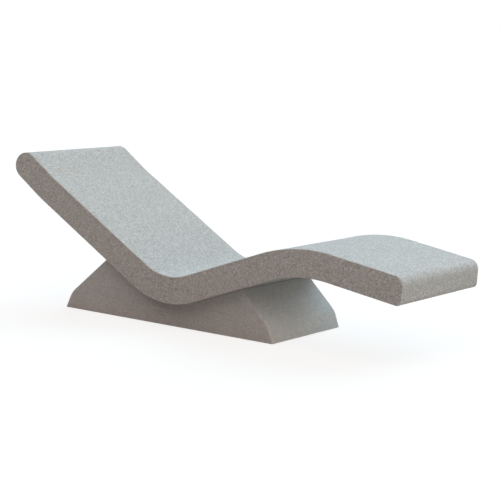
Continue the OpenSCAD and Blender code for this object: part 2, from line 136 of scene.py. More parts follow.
def line_corners(depth):
    """Corners of the reclining line at a depth in the slab, from the head's square end to the
    foot's, with the seat's lowest point over x = 0."""
    tangents = [abs(r) * math.tan(t / 2) for r, t in zip(BEND_RADII, BEND_TURNS)]
    neck_tangent, seat_tangent, knee_tangent = tangents
    middle = (BACK_HEADING + THIGH_HEADING) / 2
    seat_turn = THIGH_HEADING - BACK_HEADING
    seat_centre = Vector((0.0, SEAT_HEIGHT + SEAT_RADIUS))
    seat = seat_centre + below(middle) * (SEAT_RADIUS / math.cos(seat_turn / 2))
    neck = seat - ahead(BACK_HEADING) * (seat_tangent + BACK_LENGTH + neck_tangent)
    head_end = neck - ahead(HEAD_HEADING) * (neck_tangent + HEAD_LENGTH + SLAB_THICKNESS / 2)
    knee = seat + ahead(THIGH_HEADING) * (seat_tangent + THIGH_LENGTH + knee_tangent)
    foot_end = knee + ahead(LEG_HEADING) * (knee_tangent + LEG_LENGTH)
    shifts = [below(HEAD_HEADING)]
    for a, b, turn in zip(HEADINGS, HEADINGS[1:], BEND_TURNS):
        shifts.append(below((a + b) / 2) / math.cos(turn / 2))
    shifts.append(below(LEG_HEADING))
    return [c + s * depth for c, s in zip([head_end, neck, seat, knee, foot_end], shifts)]


def bend_radii(depth):
    """Radii of the three bends at a depth in the slab."""
    return [abs(r + depth) for r in BEND_RADII]


def foot_corners():
    """Where the foot end's face meets the top and the underside. It touches the top rounding,
    whose centre lies one radius behind the leg's end."""
    heading, end = LEG_HEADING, line_corners(0)[FOOT_END]
    touch = (end + (below(heading) - ahead(heading)) * FOOT_TOP_RADIUS
             + ahead(heading + FOOT_TURN) * FOOT_TOP_RADIUS)
    face = heading + FOOT_TURN + math.pi / 2
    under = end + below(heading) * SLAB_THICKNESS
    return crossing(end, heading, touch, face), crossing(under, heading, touch, face)


def slab_outline():
    """The slab from the side: corners, the radius at each and how far the outline turns there."""
    top, bottom = line_corners(0), line_corners(SLAB_THICKNESS)
    top[FOOT_END], bottom[FOOT_END] = foot_corners()
    quarter = math.pi / 2
    half_round = (SLAB_THICKNESS - NOSE_FLAT) / 2
    radii = [half_round, *bend_radii(0), FOOT_TOP_RADIUS, FOOT_BOTTOM_RADIUS,
             *reversed(bend_radii(SLAB_THICKNESS)), half_round]
    turns = [quarter, *BEND_TURNS, quarter - FOOT_TURN, quarter + FOOT_TURN,
             *reversed(BEND_TURNS), quarter]
    return top + bottom[::-1], radii, turns


def overall_shift():
    """How far the seat lies from the middle of the overall length."""
    top = line_corners(0)
    head_centre = (top[HEAD_END] + ahead(HEAD_HEADING) * (SLAB_THICKNESS / 2)
                   + below(HEAD_HEADING) * (SLAB_THICKNESS / 2))
    foot_centre = top[FOOT_END] + (below(LEG_HEADING) - ahead(LEG_HEADING)) * FOOT_TOP_RADIUS
    head_tip = head_centre.x - SLAB_THICKNESS / 2
    foot_tip = foot_centre.x + FOOT_TOP_RADIUS
    return -(head_tip + foot_tip) / 2


SEAT_X = overall_shift()


def plinth_outline():
    """The plinth from the side: corners and the radius at each, from its lower edge at the head
    end over the saddle to its lower edge at the foot end."""
    depth = SLAB_THICKNESS + MORTAR_BED
    seat = line_corners(depth)[SEAT]
    head_foot = Vector((-PLINTH_HEAD_REACH, PLINTH_BOTTOM))
    foot_foot = Vector((PLINTH_FOOT_REACH, PLINTH_BOTTOM))
    head_kink = head_foot + Vector((KINK_INSET, KINK_HEIGHT))
    foot_kink = foot_foot + Vector((-KINK_INSET, KINK_HEIGHT))
    head_top = crossing(head_kink, END_SLOPE, seat, BACK_HEADING)
    foot_top = crossing(foot_kink, math.pi - END_SLOPE, seat, THIGH_HEADING)
    corners = [head_foot, head_kink, head_top, seat, foot_top, foot_kink, foot_foot]
    radii = [0, KINK_RADIUS, 0, SEAT_RADIUS + depth, 0, KINK_RADIUS, 0]
    return corners, radii


def rounded(corners, radii, arc_step):
    """The closed outline with its corners rounded, as points, and for each point the number of
    the corner that it belongs to."""
    points, owners = [], []
    for i, (corner, radius) in enumerate(zip(corners, radii)):
        before = (corners[i - 1] - corner).normalized()
        after = (corners[(i + 1) % len(corners)] - corner).normalized()
        if not radius:
            points.append(corner.copy())
            owners.append(i)
            continue
        half = before.angle(after) / 2
        centre = corner + (before + after).normalized() * (radius / math.sin(half))
        start = corner + before * (radius / math.tan(half)) - centre
        turn = math.pi - 2 * half
        side = 1 if before.x * after.y - before.y * after.x < 0 else -1
        count = max(SMALLEST_ARC_STEPS, math.ceil(radius * turn / arc_step))
        for k in range(count + 1):
            a = side * turn * k / count
            points.append(centre + Vector((start.x * math.cos(a) - start.y * math.sin(a),
                                           start.x * math.sin(a) + start.y * math.cos(a))))
            owners.append(i)
    return points, owners


def add(tree, kind, inputs=None, **settings):
    """Adds a node, sets it, and joins or fills its inputs by name or number."""
    made = tree.nodes.new(kind)
    for name, value in settings.items():
        setattr(made, name, value)
    for name, value in (inputs or {}).items():
        if isinstance(value, bpy.types.NodeSocket):
            tree.links.new(value, made.inputs[name])
        else:
            made.inputs[name].default_value = value
    return made


def new_tree(name, kind, inputs, outputs):
    """A node tree with named inputs (type and first value) and outputs (type)."""
    tree = bpy.data.node_groups.new(name, kind)
    for label, (socket_type, value) in inputs.items():
        socket = tree.interface.new_socket(name=label, in_out="INPUT", socket_type=socket_type)
        if value is not None:
            socket.default_value = value
    for label, socket_type in outputs.items():
        tree.interface.new_socket(name=label, in_out="OUTPUT", socket_type=socket_type)
    return tree, tree.nodes.new("NodeGroupInput").outputs, tree.nodes.new("NodeGroupOutput")


def number(tree, operation, *values, clamp=False):
    """The result of a sum on numbers."""
    return add(tree, "ShaderNodeMath", dict(enumerate(values)), operation=operation,
               use_clamp=clamp).outputs[0]


def vector(tree, operation, *values):
    """The result of a sum on vectors, where a number scales one."""
    inputs = dict(enumerate(values))
    if operation == "SCALE":
        inputs = {0: values[0], "Scale": values[1]}
    made = add(tree, "ShaderNodeVectorMath", inputs, operation=operation)
    gives_number = operation in ("LENGTH", "DISTANCE", "DOT_PRODUCT")
    return made.outputs["Value" if gives_number else "Vector"]


def smooth_range(tree, value, low, high, start=0.0, end=1.0):
    """A value brought from one range to another, smoothly and without passing its ends."""
    return add(tree, "ShaderNodeMapRange",
               {"Value": value, "From Min": low, "From Max": high, "To Min": start,
                "To Max": end}, interpolation_type="SMOOTHSTEP").outputs[0]


def between(tree, share, low, high):
    """The value that lies a share of the way from one number to another."""
    return number(tree, "MULTIPLY_ADD", share, high - low, low)


def noise(tree, place, size, detail=2.0, seed=0.0):
    """Soft random values of a feature size, about 0.5 in the middle."""
    return add(tree, "ShaderNodeTexNoise", {"Vector": place, "W": seed, "Detail": detail,
               "Scale": number(tree, "DIVIDE", 1.0, size)}, noise_dimensions="4D").outputs[0]


FLOAT, INT, VECTOR = "NodeSocketFloat", "NodeSocketInt", "NodeSocketVector"
GEOMETRY, MATERIAL = "NodeSocketGeometry", "NodeSocketMaterial"


def cutting_tree():
    """Cuts each straight of a curve into equal steps no longer than a given length."""
    tree, given, out = new_tree("cut curve into steps", "GeometryNodeTree",
        {"Curve": (GEOMETRY, None), "Step": (FLOAT, SURFACE_STEP)}, {"Curve": GEOMETRY})
    here = add(tree, "GeometryNodeInputPosition").outputs[0]
    following = add(tree, "GeometryNodeOffsetPointInCurve", {"Offset": 1}).outputs["Point Index"]
    there = add(tree, "GeometryNodeFieldAtIndex", {"Value": here, "Index": following},
                data_type="FLOAT_VECTOR").outputs[0]
    shares = number(tree, "DIVIDE", vector(tree, "DISTANCE", here, there), given["Step"])
    cuts = number(tree, "SUBTRACT", number(tree, "CEIL", shares), 1.0)
    cut = add(tree, "GeometryNodeSubdivideCurve", {"Curve": given["Curve"], "Cuts": cuts})
    tree.links.new(cut.outputs[0], out.inputs[0])
    return tree


def carried(tree, name):
    """A value that the points carry under a name."""
    return add(tree, "GeometryNodeInputNamedAttribute", {"Name": name}).outputs["Attribute"]


def in_steps(tree, cutting, curve, step):
    """A curve whose straights are cut into steps."""
    return add(tree, "GeometryNodeGroup", {"Curve": curve, "Step": step},
               node_tree=cutting).outputs[0]


def rounding(tree, curve, count, radius):
    """A curve with its corners rounded, each by a count of points."""
    return add(tree, "GeometryNodeFilletCurve",
               {"Curve": curve, "Count": count, "Radius": radius}, mode="POLY").outputs[0]


def rounded_outline(tree, given, cutting):
    """The slab's outline with its corners rounded, each in steps of the surface."""
    radius, step = carried(tree, "corner_radius"), given["Surface step"]
    arc = number(tree, "MULTIPLY", radius, carried(tree, "corner_turn"))
    whole_steps = number(tree, "CEIL", number(tree, "DIVIDE", arc, step))
    count = number(tree, "MAXIMUM", whole_steps, SMALLEST_ARC_STEPS)
    ring = add(tree, "GeometryNodeMeshToCurve", {"Mesh": given["Outline"]}).outputs[0]
    return in_steps(tree, cutting, rounding(tree, ring, count, radius), step)


def line_across(tree, given, cutting, half, minus_half):
    """The line across the slab, with an arris at each side and a border down the side. Its points
    carry how near they lie to the arris, and how open the face is where they lie."""
    border = given["Side border"]
    places = add(tree, "GeometryNodeIndexSwitch", data_type="VECTOR",
                 inputs={"Index": add(tree, "GeometryNodeInputIndex").outputs[0]})
    corners = [(border, minus_half), (0.0, minus_half), (0.0, half), (border, half)]
    while len(places.index_switch_items) < len(corners):
        places.index_switch_items.new()
    for i, (x, y) in enumerate(corners):
        place = add(tree, "ShaderNodeCombineXYZ", {"X": x, "Y": y}).outputs[0]
        tree.links.new(place, places.inputs[str(i)])
    line = add(tree, "GeometryNodeMeshLine", {"Count": len(corners)}).outputs[0]
    bent = add(tree, "GeometryNodeSetPosition",
               {"Geometry": line, "Position": places.outputs[0]}).outputs[0]
    across = add(tree, "GeometryNodeMeshToCurve", {"Mesh": bent}).outputs[0]
    across = rounding(tree, across, given["Arris steps"], given["Arris radius"])
    across = in_steps(tree, cutting, across, given["Surface step"])

    position = add(tree, "GeometryNodeInputPosition").outputs[0]
    parts = add(tree, "ShaderNodeSeparateXYZ", {"Vector": position}).outputs
    from_side = number(tree, "SUBTRACT", half, number(tree, "ABSOLUTE", parts["Y"]))
    from_arris = number(tree, "MAXIMUM", from_side, parts["X"])
    near = smooth_range(tree, from_arris, 0.0, border, 1.0, 0.0)
    clear = smooth_range(tree, from_side, border, given["Flat border"])
    for name, value in (("arris", near), ("open_face", clear)):
        across = add(tree, "GeometryNodeStoreNamedAttribute",
                     {"Geometry": across, "Name": name, "Value": value}).outputs[0]
    return across


def flat_sides(tree, outline, border, half, minus_half):
    """The flat of each side, inside the border."""
    inward = vector(tree, "SCALE", add(tree, "GeometryNodeInputNormal").outputs[0], border)
    inner = add(tree, "GeometryNodeSetPosition",
                {"Geometry": outline, "Offset": inward}).outputs[0]
    flat = add(tree, "GeometryNodeFillCurve", {"Curve": inner}, mode="TRIANGLES").outputs[0]
    turned = add(tree, "GeometryNodeFlipFaces", {"Mesh": flat}).outputs[0]
    sides = []
    for face, height in ((flat, half), (turned, minus_half)):
        place = add(tree, "ShaderNodeCombineXYZ", {"Z": height}).outputs[0]
        sides.append(add(tree, "GeometryNodeTransform",
                         {"Geometry": face, "Translation": place}).outputs[0])
    return sides


def dipped(tree, given, geometry):
    """The coat with faces that dip a little, as a coat laid on by hand does."""
    position = add(tree, "GeometryNodeInputPosition").outputs[0]
    waves = noise(tree, position, given["Unevenness size"], seed=given["Seed"])
    full_depth = number(tree, "MULTIPLY", waves, given["Unevenness depth"])
    depth = number(tree, "MULTIPLY", full_depth, carried(tree, "open_face"))
    normal = add(tree, "GeometryNodeInputNormal").outputs[0]
    dip = vector(tree, "SCALE", normal, number(tree, "MULTIPLY", depth, -1.0))
    return add(tree, "GeometryNodeSetPosition", {"Geometry": geometry, "Offset": dip}).outputs[0]


def slab_coat_tree():
    """Sweeps the slab's outline across its width. The corners of the outline carry their radius
    and turn, and the arris between faces and sides is swept with it."""
    tree, given, out = new_tree("slab coat", "GeometryNodeTree", {
        "Outline": (GEOMETRY, None),
        "Width": (FLOAT, SLAB_WIDTH),
        "Arris radius": (FLOAT, SLAB_ARRIS),
        "Arris steps": (INT, ARRIS_STEPS),
        "Side border": (FLOAT, SIDE_BORDER),
        "Flat border": (FLOAT, FLAT_BORDER),
        "Surface step": (FLOAT, SURFACE_STEP),
        "Unevenness depth": (FLOAT, UNEVEN_DEPTH),
        "Unevenness size": (FLOAT, UNEVEN_SIZE),
        "Seed": (FLOAT, UNEVEN_SEED),
        "Coat": (MATERIAL, None),
    }, {"Slab coat": GEOMETRY})
    cutting = cutting_tree()
    half = number(tree, "MULTIPLY", given["Width"], 0.5)
    minus_half = number(tree, "MULTIPLY", half, -1.0)
    outline = rounded_outline(tree, given, cutting)
    across = line_across(tree, given, cutting, half, minus_half)
    swept = add(tree, "GeometryNodeCurveToMesh",
                {"Curve": outline, "Profile Curve": across}).outputs[0]
    band = add(tree, "GeometryNodeFlipFaces", {"Mesh": swept}).outputs[0]
    joined = add(tree, "GeometryNodeJoinGeometry")
    for piece in (band, *flat_sides(tree, outline, given["Side border"], half, minus_half)):
        tree.links.new(piece, joined.inputs[0])
    welded = add(tree, "GeometryNodeMergeByDistance",
                 {"Geometry": joined.outputs[0], "Distance": WELD_DISTANCE}).outputs[0]
    upright = add(tree, "GeometryNodeTransform",
                  {"Geometry": welded, "Rotation": (math.pi / 2, 0.0, 0.0)}).outputs[0]
    worked = dipped(tree, given, upright)
    smooth = add(tree, "GeometryNodeSetShadeSmooth", {"Geometry": worked}).outputs[0]
    solid = add(tree, "GeometryNodeRealizeInstances", {"Geometry": smooth}).outputs[0]
    coated = add(tree, "GeometryNodeSetMaterial",
                 {"Geometry": solid, "Material": given["Coat"]}).outputs[0]
    tree.links.new(coated, out.inputs[0])
    return tree


def outline_ring(corners, radii, turns):
    """The outline's corners as a ring of edges that carries each corner's radius and turn."""
    mesh = bpy.data.meshes.new("slab_outline")
    count = len(corners)
    mesh.from_pydata([(c.x + SEAT_X, c.y, 0.0) for c in corners],
                     [(i, (i + 1) % count) for i in range(count)], [])
    for name, values in (("corner_radius", radii), ("corner_turn", turns)):
        mesh.attributes.new(name, "FLOAT", "POINT").data.foreach_set("value", values)
    return mesh


def make_slab_coat(coat):
    """The slab's coat as one closed surface, made by its node tree and kept as a plain mesh."""
    maker = bpy.data.objects.new("slab_coat_maker", outline_ring(*slab_outline()))
    bpy.context.scene.collection.objects.link(maker)
    tree = slab_coat_tree()
    modifier = maker.modifiers.new("slab coat", "NODES")
    modifier.node_group = tree
    for socket in tree.interface.items_tree:
        if socket.in_out == "INPUT" and socket.name == "Coat":
            modifier[socket.identifier] = coat
    shown = maker.evaluated_get(bpy.context.evaluated_depsgraph_get())
    mesh = bpy.data.meshes.new_from_object(shown)
    bpy.data.objects.remove(maker)
    mesh.name = "slab_coat"
    piece = bpy.data.objects.new("slab_coat", mesh)
    bpy.context.scene.collection.objects.link(piece)
    return piece


def distance_to(point, path):
    """How far a point lies from an open line through points."""
    nearest = math.inf
    for a, b in zip(path, path[1:]):
        along = b - a
        share = min(max((point - a).dot(along) / along.length_squared, 0.0), 1.0)
        nearest = min(nearest, (point - a - along * share).length)
    return nearest


def drawn_in(points, depth):
    """A closed outline drawn in square to itself by a depth, without moving along itself."""
    moved = []
    for i, here in enumerate(points):
        before = (here - points[i - 1]).normalized()
        after = (points[(i + 1) % len(points)] - here).normalized()
        half = before.angle_signed(after) / 2
        middle = (before + after).normalized()
        moved.append(here + Vector((middle.y, -middle.x)) * (depth / math.cos(half)))
    return moved


def plinth_wall():
    """The plinth's outer faces as a mesh being edited, open to the saddle and below, with each
    arris bevelled. Beside each arris runs a border, where its wear fades."""
    corners, radii = plinth_outline()
    points, owners = rounded(corners, radii, SURFACE_STEP / 2)
    inner = drawn_in(points, PLINTH_BORDER)
    half, count = PLINTH_WIDTH / 2, len(points)
    wall = bmesh.new()

    def row(line, y):
        """The points of an outline, at a place across the plinth."""
        return [wall.verts.new((p.x + SEAT_X, y, p.y)) for p in line]

    places = (-half, PLINTH_BORDER - half, half - PLINTH_BORDER, half)
    rows = [row(points, y) for y in places]
    rings = [row(inner, -half), row(inner, half)]
    # The corners of the outline that belong to the head end and to the foot end
    ends = ({0, 1, 2}, {4, 5, 6})
    arrises = []
    for i in range(count):
        j = (i + 1) % count
        for outer, ring in zip((rows[0], rows[-1]), rings):
            wall.faces.new([outer[i], outer[j], ring[j], ring[i]])
        if any({owners[i], owners[j]} <= end for end in ends):
            for a, b in zip(rows, rows[1:]):
                wall.faces.new([a[i], a[j], b[j], b[i]])
            arrises += [wall.edges.get([outer[i], outer[j]]) for outer in (rows[0], rows[-1])]
    for ring in rings:
        wall.faces.new(ring)
    bmesh.ops.delete(wall, geom=[v for v in wall.verts if not v.link_faces], context="VERTS")
    bmesh.ops.recalc_face_normals(wall, faces=wall.faces)
    bmesh.ops.bevel(wall, geom=arrises, offset=PLINTH_ARRIS, segments=ARRIS_STEPS,
                    affect="EDGES", profile=ROUND_PROFILE, clamp_overlap=True)
    bmesh.ops.triangulate(wall, faces=[f for f in wall.faces if len(f.verts) > 4])
    nearness = wall.verts.layers.float.new("arris")
    paths = [[p for p, owner in zip(points, owners) if owner in end] for end in ends]
    for v in wall.verts:
        from_side = half - abs(v.co.y)
        place = Vector((v.co.x - SEAT_X, v.co.z))
        from_end = min(distance_to(place, path) for path in paths)
        v[nearness] = 1.0 - min(max(from_side, from_end) / PLINTH_BORDER, 1.0)
    return wall


def make_plinth_coat(coat):
    """The plinth's coat: both ends and both sides as one wall, open to the saddle and below."""
    wall = plinth_wall()
    mesh = bpy.data.meshes.new("plinth_coat_outside")
    wall.to_mesh(mesh)
    wall.free()
    mesh.materials.append(coat)
    piece = bpy.data.objects.new("plinth_coat", mesh)
    bpy.context.scene.collection.objects.link(piece)
    thickness = piece.modifiers.new("coat thickness", "SOLIDIFY")
    thickness.thickness, thickness.offset, thickness.use_even_offset = COAT, -1.0, True
    shown = piece.evaluated_get(bpy.context.evaluated_depsgraph_get())
    walled = bpy.data.meshes.new_from_object(shown)
    piece.modifiers.clear()
    piece.data = walled
    bpy.data.meshes.remove(mesh)
    walled.name = "plinth_coat"
    for v in walled.vertices:
        v.co.z = max(v.co.z, PLINTH_BOTTOM)
    walled.shade_smooth()
    walled.set_sharp_from_angle(angle=SHARP_EDGE)
    return piece


def shader_tree(name, inputs, outputs):
    """An effect that several finishes share, as a node group with the place on the piece first."""
    return new_tree(name, "ShaderNodeTree", {"Place": (VECTOR, None), **inputs}, outputs)


def give(tree, out, **values):
    """Joins results to the group's outputs by name, with spaces for underscores."""
    for name, value in values.items():
        tree.links.new(value, out.inputs[name.replace("_", " ")])
    return tree


# Soft noise seldom lies further than this from its middle, which is 0.5
NOISE_SPREAD = 0.2


def scattered(tree, value):
    """Random values about 0.5 brought to the range from -1 to 1."""
    return add(tree, "ShaderNodeMapRange",
               {"Value": value, "From Min": 0.5 - NOISE_SPREAD, "From Max": 0.5 + NOISE_SPREAD,
                "To Min": -1.0, "To Max": 1.0}).outputs[0]


# A grain stands out in full near its middle and fades to its rim, both told in grain sizes. The
# lowest grain stands out by this share of the highest.
GRAIN_CROWN = 0.1
GRAIN_RIM = 0.75
LOWEST_GRAIN = 0.4


def granules_tree():
    """Packed grains: each has a tone of its own, from -1 to 1, and stands out by its own height,
    and a share of them is dark or pale."""
    tree, given, out = shader_tree("granules", {
        "Grain size": (FLOAT, 0.003), "Dark share": (FLOAT, 0.05), "Pale share": (FLOAT, 0.05),
    }, {"Tone": FLOAT, "Relief": FLOAT, "Dark grains": FLOAT, "Pale grains": FLOAT})
    size = given["Grain size"]
    per_metre = number(tree, "DIVIDE", 1.0, size)
    warp = add(tree, "ShaderNodeTexNoise", {"Vector": given["Place"], "Scale": per_metre,
                                            "Detail": 0.0}).outputs["Color"]
    shift = vector(tree, "SCALE", vector(tree, "SUBTRACT", warp, (0.5, 0.5, 0.5)), size)
    cells = add(tree, "ShaderNodeTexVoronoi", {"Vector": vector(tree, "ADD", given["Place"], shift),
                                               "Scale": per_metre}).outputs
    chance = add(tree, "ShaderNodeSeparateColor", {"Color": cells["Color"]}).outputs
    dome = smooth_range(tree, cells["Distance"], GRAIN_CROWN, GRAIN_RIM, 1.0, 0.0)
    height = between(tree, chance["Green"], LOWEST_GRAIN, 1.0)
    dark = number(tree, "LESS_THAN", chance["Blue"], given["Dark share"])
    rest = number(tree, "SUBTRACT", 1.0, given["Pale share"])
    pale = number(tree, "GREATER_THAN", chance["Blue"], rest)
    return give(tree, out, Tone=between(tree, chance["Red"], -1.0, 1.0),
                Relief=number(tree, "MULTIPLY", dome, height),
                Dark_grains=number(tree, "MULTIPLY", dark, dome),
                Pale_grains=number(tree, "MULTIPLY", pale, dome))


def clouds_tree():
    """Slow changes of tone, from -1 to 1."""
    tree, given, out = shader_tree("clouds", {"Cloud size": (FLOAT, 0.2), "Seed": (FLOAT, 0.0)},
                                   {"Tone": FLOAT})
    soft = noise(tree, given["Place"], given["Cloud size"], detail=3.0, seed=given["Seed"])
    return give(tree, out, Tone=scattered(tree, soft))


# Strokes fade out where soft noise falls from one value to another, down to a share of their
# strength
STROKES_FAINT = 0.35
STROKES_FULL = 0.6
FAINTEST_SHARE = 0.35


def strokes_tree():
    """Long marks in one direction, from -1 to 1, which come and go: a trowel's strokes, drawn
    metal, fibres. The stroke size is the marks' extent along each axis."""
    tree, given, out = shader_tree("strokes", {
        "Stroke size": (VECTOR, (0.2, 0.2, 0.004)), "Break size": (FLOAT, 0.1),
        "Seed": (FLOAT, 0.0)}, {"Strokes": FLOAT})
    drawn_out = vector(tree, "DIVIDE", given["Place"], given["Stroke size"])
    marks = scattered(tree, noise(tree, drawn_out, 1.0, seed=given["Seed"]))
    come_and_go = noise(tree, given["Place"], given["Break size"], detail=1.0,
                        seed=given["Seed"])
    held = smooth_range(tree, come_and_go, STROKES_FAINT, STROKES_FULL, FAINTEST_SHARE, 1.0)
    return give(tree, out, Strokes=number(tree, "MULTIPLY", marks, held))


# The rubbed zone along an edge wavers: by how much, and over how many chip sizes. It begins at one
# nearness of the edge and is full at another. Chips lie closer to the edge, where fine noise is
# high.
RUB_WAVER = 0.35
RUB_WAVE_CHIPS = 8.0
RUB_BEGINS = 0.55
RUB_FULL = 1.15
CHIPS_BEGIN = 0.8
CHIP_NOISE_LOW = 0.6
CHIP_NOISE_HIGH = 0.7
CHIP_SEED = 3.0


def wear_tree():
    """Wear on an edge, from how near the edge is: where it is rubbed, and where it is chipped."""
    tree, given, out = shader_tree("wear on an edge", {
        "Nearness": (FLOAT, 0.0), "Chip size": (FLOAT, 0.004)},
        {"Rubbed": FLOAT, "Chipped": FLOAT})
    near, size = given["Nearness"], given["Chip size"]
    wave_size = number(tree, "MULTIPLY", size, RUB_WAVE_CHIPS)
    coarse = scattered(tree, noise(tree, given["Place"], wave_size))
    uneven = number(tree, "MULTIPLY_ADD", coarse, RUB_WAVER, near)
    fine = noise(tree, given["Place"], size, seed=CHIP_SEED)
    at_edge = number(tree, "MULTIPLY", smooth_range(tree, near, CHIPS_BEGIN, 1.0),
                     smooth_range(tree, fine, CHIP_NOISE_LOW, CHIP_NOISE_HIGH))
    return give(tree, out, Rubbed=smooth_range(tree, uneven, RUB_BEGINS, RUB_FULL),
                Chipped=at_edge)


# How many rays feel for an edge, and how far its rounded normal turns where it is just felt and
# where it is near, as one minus the cosine
EDGE_RAYS = 4
EDGE_FELT = 0.01
EDGE_NEAR = 0.2


def nearness_tree():
    """How near a sharp edge is, from 0 to 1, told by rounding the edge's normal."""
    tree, given, out = shader_tree("nearness of an edge", {"Reach": (FLOAT, 0.001)},
                                   {"Nearness": FLOAT})
    rounded_off = add(tree, "ShaderNodeBevel", {"Radius": given["Reach"]},
                      samples=EDGE_RAYS).outputs[0]
    straight = add(tree, "ShaderNodeNewGeometry").outputs["Normal"]
    turned = number(tree, "SUBTRACT", 1.0, vector(tree, "DOT_PRODUCT", rounded_off, straight))
    return give(tree, out, Nearness=smooth_range(tree, turned, EDGE_FELT, EDGE_NEAR))


# How far the dust's upper edge wavers, as a share of its reach
DUST_WAVER = 0.4


def dust_tree():
    """Dust and splash marks that fade with the height above the floor."""
    tree, given, out = shader_tree("dust near the floor", {"Reach": (FLOAT, 0.05)},
                                   {"Dust": FLOAT})
    reach = given["Reach"]
    height = add(tree, "ShaderNodeSeparateXYZ", {"Vector": given["Place"]}).outputs["Z"]
    ragged = scattered(tree, noise(tree, given["Place"], reach, detail=3.0))
    waver = number(tree, "MULTIPLY", ragged, reach)
    raised = number(tree, "MULTIPLY_ADD", waver, DUST_WAVER, height)
    share = number(tree, "DIVIDE", raised, reach)
    return give(tree, out, Dust=smooth_range(tree, share, 0.0, 1.0, 1.0, 0.0))


def tone(red, green, blue):
    """A colour as a node's socket takes it."""
    return (red, green, blue, 1.0)


# The colours of the finishes, and of the grains, the wear and the dust on them
SLAB_TONE = tone(0.520, 0.516, 0.504)
# The plinth's tone is painted paler than the slab's: painted light that lifts the shade under the
# slab's overhang
PLINTH_TONE_SHADE_LIFTED = tone(0.583, 0.595, 0.593)
DARK_GRAIN = tone(0.24, 0.235, 0.23)
PALE_GRAIN = tone(0.78, 0.78, 0.76)
RUBBED_COAT = tone(0.80, 0.795, 0.78)
CHIPPED_COAT = tone(0.36, 0.35, 0.335)
DUST = tone(0.40, 0.37, 0.33)
MORTAR = tone(0.42, 0.415, 0.405)
FOAM = tone(0.70, 0.77, 0.80)
# Painted shade in the foam's open cell pits
FOAM_PIT_SHADE = tone(0.42, 0.5, 0.54)
FOAM_EDGE = tone(0.86, 0.9, 0.92)
BEECH = tone(0.55, 0.38, 0.23)
BEECH_FLECK = tone(0.32, 0.19, 0.1)
BEECH_EDGE = tone(0.68, 0.52, 0.36)
NET_YARN = tone(0.78, 0.78, 0.74)
NET_GAP = tone(0.5, 0.5, 0.46)
CABLE_RED = tone(0.45, 0.035, 0.02)
SHEATH_BLACK = tone(0.025, 0.025, 0.028)
TALC = tone(0.25, 0.25, 0.25)
ZINC = tone(0.55, 0.565, 0.58)
BRIGHT_STEEL = tone(0.62, 0.61, 0.6)
WORN_STEEL = tone(0.78, 0.78, 0.78)
CEMENT = tone(0.46, 0.44, 0.4)
CEMENT_FIBRE = tone(0.66, 0.64, 0.58)
BRUISED_CEMENT = tone(0.62, 0.6, 0.55)
CONDUIT_GREY = tone(0.145, 0.16, 0.175)
WORN_CONDUIT = tone(0.3, 0.32, 0.34)
RUBBER_BLACK = tone(0.03, 0.03, 0.032)
WORN_RUBBER = tone(0.08, 0.08, 0.08)
BOX_GREY = tone(0.6, 0.6, 0.57)
WORN_BOX = tone(0.74, 0.74, 0.72)
STRIP_CREAM = tone(0.66, 0.62, 0.5)
WORN_STRIP = tone(0.78, 0.75, 0.66)
GLAND_BLACK = tone(0.045, 0.048, 0.052)
WORN_GLAND = tone(0.14, 0.145, 0.15)

# The heating mats' cable runs to and fro on a net, and the runs spread over its width. Cable and
# yarn fade from one distance off their middle to the other.
MAT_SIDE_MARGIN = 0.050
MAT_FIT_GAP = 0.00025
CABLE_WIDTH = 0.004
CABLE_RUNS = 9
NET_WIDTH = SLAB_WIDTH - 2 * (MAT_SIDE_MARGIN + MAT_FIT_GAP)
CABLE_PITCH = (NET_WIDTH - 3 * CABLE_WIDTH) / (CABLE_RUNS - 1)
CABLE_FADES = (0.48 * CABLE_WIDTH, 0.55 * CABLE_WIDTH)
NET_MESH = 0.005
YARN_FADES = (0.1 * NET_MESH, 0.2 * NET_MESH)


